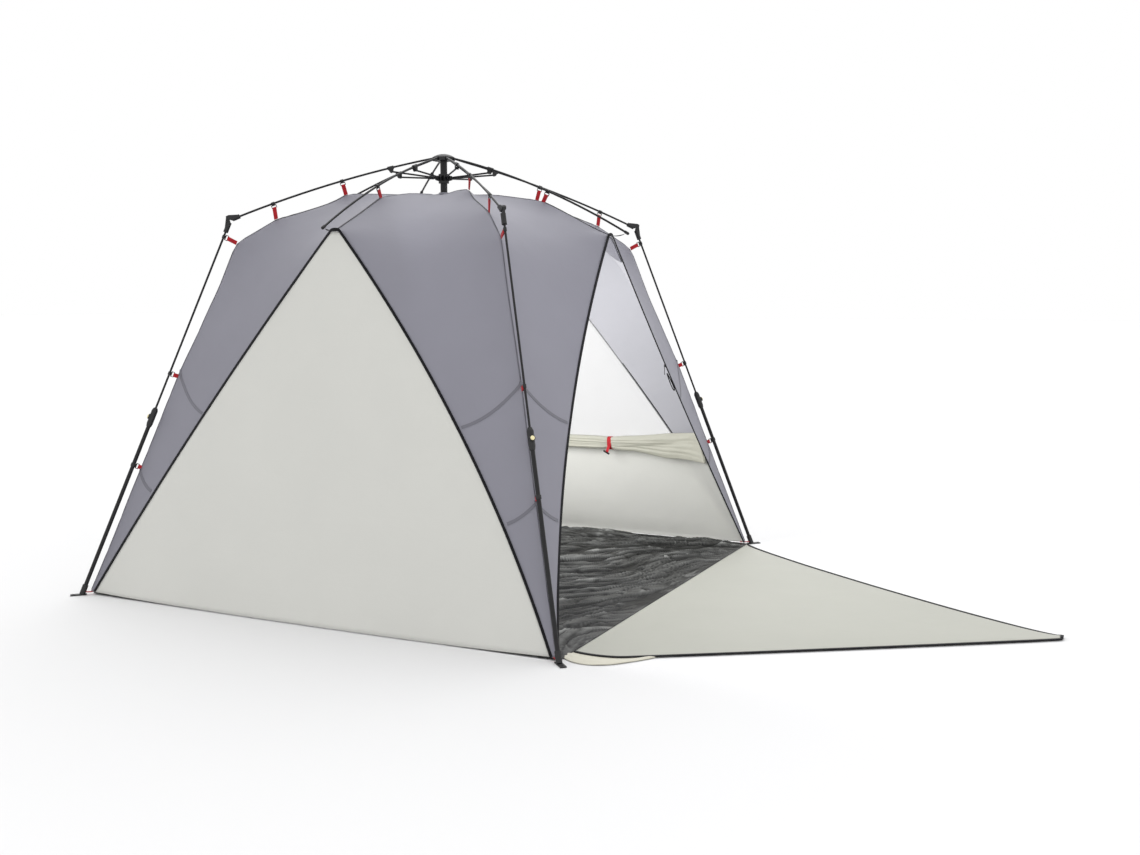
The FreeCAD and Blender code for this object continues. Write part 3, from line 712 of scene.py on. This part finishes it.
def make_tapes(canopy, net, panels):
    """Curved reinforcing tapes from the two lower leg tabs to the seams of every corner panel."""
    m = HALF_COLUMNS
    strips = []
    for panel in panels:
        for (_, height), drop in zip(LEG_TABS[1:], (0.155, 0.105)):
            start = min(range(len(panel)), key=lambda i: abs(net[panel[i][m - 1]][2] - height))
            for side in (0, 2 * m - 2):
                end = min(range(len(panel)), key=lambda i: abs(net[panel[i][side]][2] - height + drop))
                path = []
                for s in range(17):
                    t = s / 16
                    row = start + (end - start) * (1 - (1 - t) ** 2.2)
                    column = (m - 1) + (side - (m - 1)) * t
                    path.append(panel_point(net, panel, row, column))
                strips.append(strip_on(canopy, path, 0.013, 0.0016))
    on_canopy(join("reinforcing_tapes", strips), TAPE, "grey_cloth")


def make_peak_shade(canopy):
    """Dark grey sheet laid on the inside to the right of the doorway's top: painted shade of the canopy's
    darker upper inside.
    """
    rows = []
    for i in range(9):
        row = []
        for j in range(15):
            across = j / 14
            out, side, z = seam_at_height(APEX_Z - 0.004 - (0.112 - 0.045 * across) * i / 8)
            inside = Vector((side - 0.006 + 0.23 * across, 0.012 - out + 0.23 * across, z))
            _, place, normal, _ = canopy.closest_point_on_mesh(inside)
            row.append(place + normal * 0.003)
        rows.append(row)
    obj = grid_object("peak_painted_shade", np.array(rows), CLOTH)
    on_canopy(obj, TAPE, "grey_cloth")


def make_sleeve():
    """Gathered cuff of the roof round the centre tube."""
    rings = []
    sides, folds = 48, 16
    profile = ((0.050, -0.002), (0.036, 0.0005), (0.027, 0.003), (0.0225, 0.006), (0.0215, 0.0095))
    for radius, height in profile:
        for k in range(sides):
            a = 2 * math.pi * k / sides
            pleat = 1 + 0.035 * math.cos(folds * a)
            out = radius * pleat
            rings.append((out * math.cos(a), out * math.sin(a), CROWN_CLOTH[1] + height))
    obj = as_cloth(mesh_object("crown_sleeve", rings, tube_faces(len(profile), sides)), 1, 0.002, 0)
    on_canopy(obj, GREY, "grey_cloth")


# --- Walls, window and their bindings ---------------------
def wall_grid(top, bottom, count, half, bow):
    """Grid of the +X wall between its seams, from one height to another."""
    rows = []
    for i in range(count + 1):
        height = top + (bottom - top) * i / count
        out, side, _ = seam_at_height(height)
        side -= 0.001
        row = []
        for s in range(-half, half + 1):
            share = s / half
            billow = bow * (1 - share ** 2) * math.sin(math.pi * min(1, i / count))
            low = height
            if bottom < 0.05:
                blend = max(0.0, (i / count - 0.8) / 0.2) ** 2
                low = height + (0.004 + 0.008 * share ** 4 - SEAM_FOOT_Z) * blend
                billow += 0.016 * (1 - share ** 2) * blend
            row.append((out - 0.0005 + billow, side * share, low))
        rows.append(row)
    return np.array(rows)


def with_lining(grid):
    """The wall's grid carried on across the doorway's corner, with the turn between them round."""
    across, reach, rounds = 10, 8, 12
    rows = []
    for row in grid:
        corner = row[0]
        out, side, _ = seam_at_height(corner[2])
        end = np.array([side - 0.003, 0.003 - out, corner[2]])
        lining = [end + (corner - end) * s / across for s in range(across)]
        row = np.vstack([lining, row])
        for _ in range(rounds):
            part = row[across - reach:across + reach + 1]
            part[1:-1] = (part[:-2] + 2 * part[1:-1] + part[2:]) / 4
        rows.append(row)
    return np.array(rows)


def make_wall(name, degrees, top, bottom, mat, slot, node, seed, lined=False):
    """One wall or window as a taut sheet, with a lining of the corner beside it if asked."""
    grid = wall_grid(top, bottom, 44, 28, -0.012)
    if lined:
        grid = with_lining(grid)
    obj = mesh_object(name, turned(grid.reshape(-1, 3), degrees), grid_faces(*grid.shape[:2]))
    roughen(obj, ((0.5, 0.007), (0.16, 0.0020)), seed)
    as_cloth(obj, 1, CLOTH, 0)
    on_canopy(obj, mat, slot, node)
    return obj


def seam_line(side_sign):
    """Points along one seam of the +X side, from its apex to its foot."""
    path = []
    for i in range(61):
        out, side, z = seam(i / 60)
        path.append((out + 0.001, side * side_sign, z))
    return np.array(path)


def make_bindings():
    """Black binding up one seam of every side, round its apex and down the other seam."""
    strips = []
    top = [(APEX_R + 0.001, APEX_HALF * math.cos(a), APEX_Z + 0.007 * math.sin(a))
           for a in np.linspace(0, math.pi, 9)[1:-1]]
    for k in range(4):
        path = np.vstack([seam_line(1)[::-1], top, seam_line(-1)])
        lean = np.clip(path[:, 1] / APEX_HALF, -1, 1) * 0.25
        normals = np.stack([np.ones(len(path)), lean, np.full(len(path), 0.25)], axis=1)
        path, normals = turned(path, 90 * k), turned(normals, 90 * k)
        across = np.cross(np.gradient(path, axis=0), normals)
        strips.append(ribbon("binding", path, across, BINDING, BINDING_THICKNESS))
    on_canopy(join("seam_binding", strips), BLACK_TAPE, "black_trim")


def roll_section(t):
    """Middle of the rolled cover seen from above, its top and bottom, and half its depth."""
    out, side, _ = seam_at_height(ROLL_Z)
    deep = 0.026
    inside = out - 0.012 - deep
    track = rounded([(inside, side - 0.02), (inside, -0.60), (inside - 0.012, -0.80), (0.905, -0.895),
                     (side + 0.006, 0.004 - out)])
    x, y = polyline(track, t)
    top = np.interp(t, (0, 0.66, 0.75, 0.84, 1), (0.546, 0.549, 0.560, 0.580, 0.604))
    bottom = np.interp(t, (0, 0.66, 0.75, 0.84, 1), (0.474, 0.480, 0.476, 0.452, 0.456))
    deep = np.interp(t, (0, 0.74, 0.84, 1), (deep, deep, 0.021, 0.009))
    return x, y, top, bottom, deep


def roll_fold(v, t):
    """How far the layers of the rolled cover stand in or out, at height v and place t."""
    spread = 0.55 + 0.45 * abs(t - 0.66) / 0.34
    inward = 0.0
    for start, swing, speed in ((0.55, 0.10, 9), (0.12, 0.14, 7), (-0.30, 0.12, 11), (-0.68, 0.08, 13)):
        line = spread * (start + swing * math.sin(speed * t + 5 * start))
        inward += math.exp(-((v - line) / 0.07) ** 2)
    flap = -0.75 + 1.6 * max(0.0, (t - 0.66) / 0.34) ** 0.8
    layer = 1 / (1 + math.exp(-(v - flap) / 0.025))
    return 0.20 * layer - 0.26 * inward


def make_roll():
    """Rolled-up window cover: a flattened bundle in layers that fan out to the doorway's seam."""
    stations, around = 150, 56
    seam_slope = 0.55  # how far the doorway's seam leans at the height of the roll
    points = []
    places = [np.array(roll_section(i / stations)) for i in range(stations + 1)]
    for i, (x, y, top, bottom, deep) in enumerate(places):
        t = i / stations
        ahead = places[min(i + 1, stations)][:2] - places[max(i - 1, 0)][:2]
        ahead = ahead / np.linalg.norm(ahead)
        outward = Vector((-ahead[1], ahead[0], 0))
        tie = sum(math.exp(-((y - place) / 0.028) ** 2) for place in strap_places())
        middle, tall = (top + bottom) / 2, (top - bottom) / 2 * (1 - 0.15 * tie)
        for k in range(around):
            a = 2 * math.pi * k / around
            rough = 0.25 * noise(Vector((math.cos(a) * 1.3, math.sin(a) * 1.3, 14 * t)))
            across = math.copysign(abs(math.cos(a)) ** 0.6, math.cos(a)) * deep * (1 - 0.2 * tie)
            across *= 1 + rough + roll_fold(math.sin(a), t)
            up = math.sin(a) * tall * (1 + 0.10 * rough)
            slant = -seam_slope * (middle + up - ROLL_Z) * max(0.0, (t - 0.80) / 0.20)
            points.append(Vector((x, y, middle + up)) + outward * across + Vector((*ahead, 0)) * slant)
    ends = [tuple(range(around - 1, -1, -1)), tuple(range(stations * around, (stations + 1) * around))]
    obj = mesh_object("rolled_window_cover", points, tube_faces(stations + 1, around) + ends)
    smooth = obj.modifiers.new("smooth", "SUBSURF")
    smooth.levels = smooth.render_levels = 1
    bake(obj)
    on_canopy(obj, ROLLED, "beige_cloth", "window_roll")


def strap_places():
    """Where the two straps hold the rolled cover, along its wall."""
    side = seam_at_height(ROLL_Z)[1]
    return -0.53 * side, 0.40 * side


def make_toggles():
    """Red straps round the rolled cover, each with a black toggle at its lower end."""
    out = seam_at_height(ROLL_Z)[0]
    middle_x, middle_z = out - 0.038, 0.514
    half_deep, half_tall = 0.0262, 0.0335
    straps, toggles = [], []
    for y in strap_places():
        path = []
        for k in range(33):
            a = 2 * math.pi * k / 32
            deep = math.copysign(abs(math.cos(a)) ** 0.6, math.cos(a)) * half_deep
            path.append((middle_x + deep, y + 0.003 * math.sin(a), middle_z + half_tall * math.sin(a)))
        tail = [(out - 0.0655, y, 0.500), (out - 0.069, y + 0.005, 0.480), (out - 0.070, y + 0.012, 0.462)]
        straps.append(ribbon("strap", path, [(0, 1, 0)] * 33, 0.022, 0.0018))
        straps.append(ribbon("strap", tail, [(0, 1, 0)] * 3, 0.016, 0.0018))
        end = Vector(tail[-1])
        bar = [end + Vector((0, -0.016 + 0.004 * s, -0.004 + 0.002 * s)) for s in range(9)]
        toggles.append(rope("toggle", bar, 0.0045, 12))
    on_canopy(join("roll_straps", straps), RED, "red_webbing", "roll_toggles")
    on_canopy(join("roll_toggle_bars", toggles), BLACK_TAPE, "black_trim")


# --- Tabs, ties and zips ----------------------------------
def make_tabs():
    """Each red tab: a loop of webbing through its hook's ring, sewn to the cloth below it.

    The loop's outline is given as distances down from the ring and aside from its middle.
    """
    loops = []
    for azimuth, ring, cloth, along in tab_frames():
        length = np.linalg.norm(cloth - ring)
        way = (cloth - ring) / length
        half = [(length + 0.003, 0.0009), (0.6 * length + 0.004, 0.0016), (0.0095, 0.0025), (0.006, 0.0027)]
        steps = half + [(0.0038, 0.0019), (0.0032, 0.0), (0.0038, -0.0019)]
        steps += [(down, -aside) for down, aside in half[::-1]]
        plane = [(ring + way * down, aside) for down, aside in steps]
        path = turned([(p[0], aside, p[1]) for p, aside in plane], azimuth)
        across = turned([[along[0], 0, along[1]]], azimuth)[0]
        loops.append(ribbon("tab", path, [across] * len(path), 0.018, 0.0013, square=False))
    feet = []
    rim = ((1.560, 0.014), (1.575, 0.0125), (1.590, 0.0115), (1.602, 0.0115), (1.609, 0.013))
    for k in range(4):
        path = turned([(r, 0, z) for r, z in rim], 45 + 90 * k)
        across = turned([[0, 1, 0]], 45 + 90 * k)[0]
        feet.append(ribbon("foot_strap", path, [across] * len(path), 0.016, 0.0018))
    on_canopy(join("red_tabs", loops + feet), RED, "red_webbing", "webbing_tabs")


def make_ties():
    """Elastic loop from each apex to the tip of its side rib."""
    ties = []
    for points in islands("apex_ties"):
        azimuth = round(math.degrees(math.atan2(points[:, 1].mean(), points[:, 0].mean())) / 90) * 90
        flat = turned(points, -azimuth)
        start = np.array([APEX_R - 0.002, 0, APEX_Z + 0.001])
        end = np.array([flat[:, 0].max(), 0, flat[flat[:, 0] > flat[:, 0].max() - 0.004][:, 2].mean()])
        for sign in (-1, 1):
            path = []
            for s in range(13):
                t = s / 12
                spread = 0.006 * math.sin(math.pi * min(1.0, t * 1.02)) + 0.004 * (1 - t)
                point = start + (end - start) * t
                path.append((point[0], sign * spread, point[2] - 0.004 * math.sin(math.pi * t)))
            ties.append(rope("tie", turned(path, azimuth), 0.0013, 8))
    on_canopy(join("apex_elastic", ties), BLACK_TAPE, "black_trim", "apex_ties")


def make_zip_pulls():
    """Cord loops on the pulls of the doorway's two zips."""
    loops = []
    for sign in (-1, 1):
        path = []
        for k in range(33):
            a = 2 * math.pi * k / 32
            down = 0.5 - 0.5 * math.cos(a)
            width = 0.011 * math.sin(a) * (0.5 + down)
            out, side, z = seam_at_height(ZIP_PULL_Z - ZIP_PULL_DROP * down)
            path.append((sign * (side - 0.004) + width, 0.008 - out, z))
        loops.append(rope("loop", path, 0.0024, 8))
    on_canopy(join("zip_pull_loops", loops), BLACK_TAPE, "black_trim")


# --- Groundsheet and door ---------------------------------
def floor_fold(x, y):
    """Height of the floor and its painted light: creases that fan out from the doorway's right corner.

    Each set of folds has its turns round the fan, how often it breaks along it, depth and seed.
    """
    away = Vector((x - 1.35, y + 1.5))
    angle, far = math.atan2(away.y, away.x), away.length
    warp = 0.35 * noise(Vector((x * 1.7, y * 1.7, 4))) + 0.05 * noise(Vector((x * 7, y * 7, 9)))
    height, painted_light = 0.014, 1.0
    for turns, reach, depth, seed in ((9, 1.1, 0.011, 1), (21, 2.4, 0.010, 7), (44, 6.0, 0.006, 13)):
        fold = noise(Vector(((angle + 0.3 * warp) * turns, far * reach, seed)))
        valley = max(0.0, 1 - 6.5 * abs(fold))
        rise = max(0.0, 1 - 7.5 * abs(fold - 0.17))
        height += depth * (0.7 * fold - valley + 0.3 * rise)
        # Painted shade down each crease's valley and a painted highlight on the ridge beside it.
        painted_light *= (1 - 0.90 * valley) * (1 + 0.9 * rise)
    crumple = noise(Vector((x * 13, y * 13, 2.5))) + 0.6 * noise(Vector((x * 30, y * 30, 5)))
    # The painted light is also lighter where the crumple lifts the sheet.
    return height + 0.004 * crumple, painted_light * (1 + 0.45 * crumple)


def make_groundsheet():
    """Creased floor, from the doorway's flap to the three walls."""
    edge, front, count = FLOOR_EDGE, DOOR_HINGE_Y + 0.003, FLOOR_CELLS
    side_fade, front_fade = 0.05, 0.09
    rows, painted_lights = [], []
    for i in range(count + 1):
        y = front + (edge - front) * i / count
        row = []
        for j in range(count + 1):
            x = -edge + 2 * edge * j / count
            rim = min(1.0, (edge - abs(x)) / side_fade, (edge - y) / side_fade, (y - front) / front_fade)
            height, painted_light = floor_fold(x, y)
            row.append((x, y, FLOOR_LOW + max(0.0, height * rim)))
            painted_lights.append(max(0.1, painted_light))
        rows.append(row)
    grid = np.array(rows)
    obj = mesh_object("groundsheet_cloth", grid.reshape(-1, 3), grid_faces(*grid.shape[:2]))
    # The painted crease shade and highlight, which the floor's material multiplies into its colour.
    mark = obj.data.attributes.new("crease_shade_and_highlight", "FLOAT", "POINT")
    mark.data.foreach_set("value", painted_lights)
    as_cloth(obj, 0, 0.0016)
    paint(obj, FLOOR)
    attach(obj, "canopy")
    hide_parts("groundsheet")
    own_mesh(obj)
    return obj


def door_edge(t, sign):
    """Edge of the laid-out door at a share of its length from the tip to the hinge.

    The right edge is pulled hollow, and the left one steps in just before the hinge.
    """
    half = APEX_HALF + (SEAM_FOOT_ALONG - APEX_HALF) * t
    curve = math.sqrt(4 * t * (1 - t))
    if sign > 0:
        half -= 0.092 * curve
    else:
        half += 0.014 * curve - 0.105 * max(0.0, (t - 0.88) / 0.12) ** 1.5
    return sign * half + DOOR_TIP_X * (1 - t)


def door_height(x, y, share):
    """Gentle waves of the cloth over the ground; its outer edges and its hinge stay low."""
    wave = 0.5 + 0.5 * noise(Vector((x * 1.6, y * 1.1, 8)))
    low = 0.5 + 0.5 * noise(Vector((x * 5, y * 4, 3)))
    free = min(1.0, 0.12 + (DOOR_HINGE_Y - y) / 0.16) * (1 - 0.75 * abs(share) ** 6)
    return DOOR_LOW + (0.0085 * wave + 0.0022 * low) * free


def on_door(obj, mat, slot, *nodes):
    """Finish a piece of the door: its material and its body."""
    paint(obj, mat)
    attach(obj, "door")
    if nodes:
        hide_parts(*nodes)
    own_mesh(obj)


def door_point(t, share):
    """A point of the door: t runs from its tip to the hinge, share from its left edge to its right."""
    y = DOOR_HINGE_Y - DOOR_LENGTH * (1 - t)
    left, right = door_edge(t, -1), door_edge(t, 1)
    x = left + (right - left) * (share + 1) / 2
    return x, y, door_height(x, y, share)


def make_door():
    """Doorway cover laid out in front, with black binding on its two long edges."""
    rows = [[door_point(i / 70, s / 30) for s in range(-30, 31)] for i in range(71)]
    obj = grid_object("front_door_cloth", np.array(rows)[:, ::-1], 0.0014)
    on_door(obj, DOOR, "beige_cloth", "front_door")
    strips = []
    for sign in (-1, 1):
        path = [Vector(door_point(i / 90, sign)) + Vector((sign * 0.002, 0, 0.0004)) for i in range(91)]
        strips.append(ribbon("edge", path, [(1, 0.6 * sign, 0)] * 91, 0.012, BINDING_THICKNESS))
    tip = [door_point(0, s / 4) for s in range(-4, 5)]
    strips.append(ribbon("edge", tip, [(0, 1, 0)] * 9, 0.012, BINDING_THICKNESS))
    on_door(join("door_binding", strips), BLACK_TAPE, "black_trim")


def make_hem_end():
    """Loose end of the door's lower hem beside the front left foot."""
    rows = []
    for i in range(33):
        t = i / 32
        y = DOOR_HINGE_Y + 0.055 - 0.345 * t
        inner = door_edge(min(1.0, (y - DOOR_HINGE_Y) / DOOR_LENGTH + 1), -1) + 0.012
        outer = inner - 0.020 - 0.100 * math.sin(math.pi * (0.06 + 0.94 * t) ** 0.85) ** 0.8
        row = []
        for s in range(11):
            wave = 0.003 * noise(Vector((s * 0.5, t * 6, 2)))
            fold = max(0.0, 0.004 * math.sin(math.pi * (s - 3) / 7) + wave) if s > 3 else 0.0
            row.append((inner + (outer - inner) * s / 10, y, 0.0018 + fold))
        rows.append(row)
    obj = grid_object("door_hem_end", np.array(rows), 0.001)
    paint(obj, HEM)
    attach(obj, "canopy")
    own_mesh(obj)


# --- Frame ------------------------------------------------
def paint_frame():
    """Materials of the CAD nodes that stay as they are."""
    paints = (
        (("corner_rib", "side_rib"), ROD),
        (("centre_tube", "corner_strut", "side_strut", "leg_rod", "lower_tube"), TUBE),
        (("crown_hub", "crown_cap", "runner", "rib_fittings"), PLASTIC),
        (("knee_socket", "leg_fittings", "zip_sliders"), PLASTIC),
        (("lock_button",), CREAM),
    )
    for starts, mat in paints:
        for name, obj in NODES.items():
            if name.startswith(starts):
                paint(obj, mat)
    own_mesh(NODES["zip_sliders"])


# --- Stage ------------------------------------------------
CAMERA_AZIMUTH, CAMERA_ELEVATION = -64.57, 6.24
CAMERA_PLACE = (-4.856, -2.954, 1.288)
CAMERA_LENS, CAMERA_SENSOR = 38.04, 36  # millimetres


def make_stage():
    """A wide pale floor under an even white sky."""
    corners = [(-60, -60, -0.001), (60, -60, -0.001), (60, 60, -0.001), (-60, 60, -0.001)]
    floor = mesh_object("stage_floor", corners, [(0, 1, 2, 3)], smooth=False)
    mat = material("stage_white", (0.80, 0.80, 0.805), roughness=0.9)
    floor.data.materials.append(mat)
    world = bpy.data.worlds.new("studio")
    world.use_nodes = True
    sky = world.node_tree.nodes["Background"]
    sky.inputs["Color"].default_value = (1.0, 1.0, 1.0, 1)
    sky.inputs["Strength"].default_value = 1.0
    bpy.context.scene.world = world
    bpy.context.scene.view_settings.view_transform = "Standard"


def add_lamp(name, kind, energy, place, way):
    """A new lamp of a kind at a place, shining along way."""
    lamp = bpy.data.objects.new(name, bpy.data.lights.new(name, kind))
    bpy.context.collection.objects.link(lamp)
    lamp.data.energy = energy
    lamp.location = place
    lamp.rotation_euler = Vector(way).to_track_quat("-Z", "Y").to_euler()
    return lamp


def add_sun():
    """A broad sun, high over the right wall."""
    place = Vector((6, 2, 9))
    sun = add_lamp("key", "SUN", 1.05, place, Vector((0, 0, 0.8)) - place)
    sun.data.angle = math.radians(60)


def add_inner_light():
    """A soft lamp inside the tent that shows the lining, the window's roll and the floor."""
    lamp = add_lamp("inner", "AREA", 36, (-0.45, 0.25, 1.0), (1.0, -0.75, -0.15))
    lamp.data.shape = "SQUARE"
    lamp.data.size = 1.0
    lamp.visible_camera = False


def add_camera():
    """The camera, looking at the left wall and into the open doorway."""
    azimuth, elevation = math.radians(CAMERA_AZIMUTH), math.radians(CAMERA_ELEVATION)
    level = math.cos(elevation)
    back = Vector((math.sin(azimuth) * level, -math.cos(azimuth) * level, math.sin(elevation)))
    right = Vector((math.cos(azimuth), math.sin(azimuth), 0))
    turn = Matrix((right, back.cross(right), back)).transposed().to_4x4()
    data = bpy.data.cameras.new("camera")
    data.sensor_width = CAMERA_SENSOR
    data.lens = CAMERA_LENS
    camera = bpy.data.objects.new("camera", data)
    bpy.context.collection.objects.link(camera)
    camera.matrix_world = Matrix.Translation(CAMERA_PLACE) @ turn
    bpy.context.scene.camera = camera


make_stage()
add_sun()
add_inner_light()
add_camera()

grey_canopy, relaxed, ridge_lines, corner_panels = make_canopy()
make_ridge_seams(grey_canopy, relaxed, ridge_lines)
make_tapes(grey_canopy, relaxed, corner_panels)
# Painted shade inside the doorway's top.
make_peak_shade(grey_canopy)
make_sleeve()
APEX_TOP = APEX_Z - 0.001
make_wall("left_wall_cloth", 180, APEX_TOP, SEAM_FOOT_Z, BEIGE, "beige_cloth", "left_wall", 1.3)
make_wall("rear_wall_cloth", 90, APEX_TOP, SEAM_FOOT_Z, BEIGE, "beige_cloth", "rear_wall", 5.9)
make_wall("right_wall_cloth", 0, SILL_Z, SEAM_FOOT_Z, BEIGE, "beige_cloth", "right_wall", 8.4,
          lined=True)
make_wall("window_netting", 0, APEX_TOP, SILL_Z, NETTING, "mesh_white", "window_mesh", 2.2)
make_bindings()
make_roll()
make_toggles()
make_tabs()
make_ties()
make_zip_pulls()
make_groundsheet()
make_door()
make_hem_end()
paint_frame()
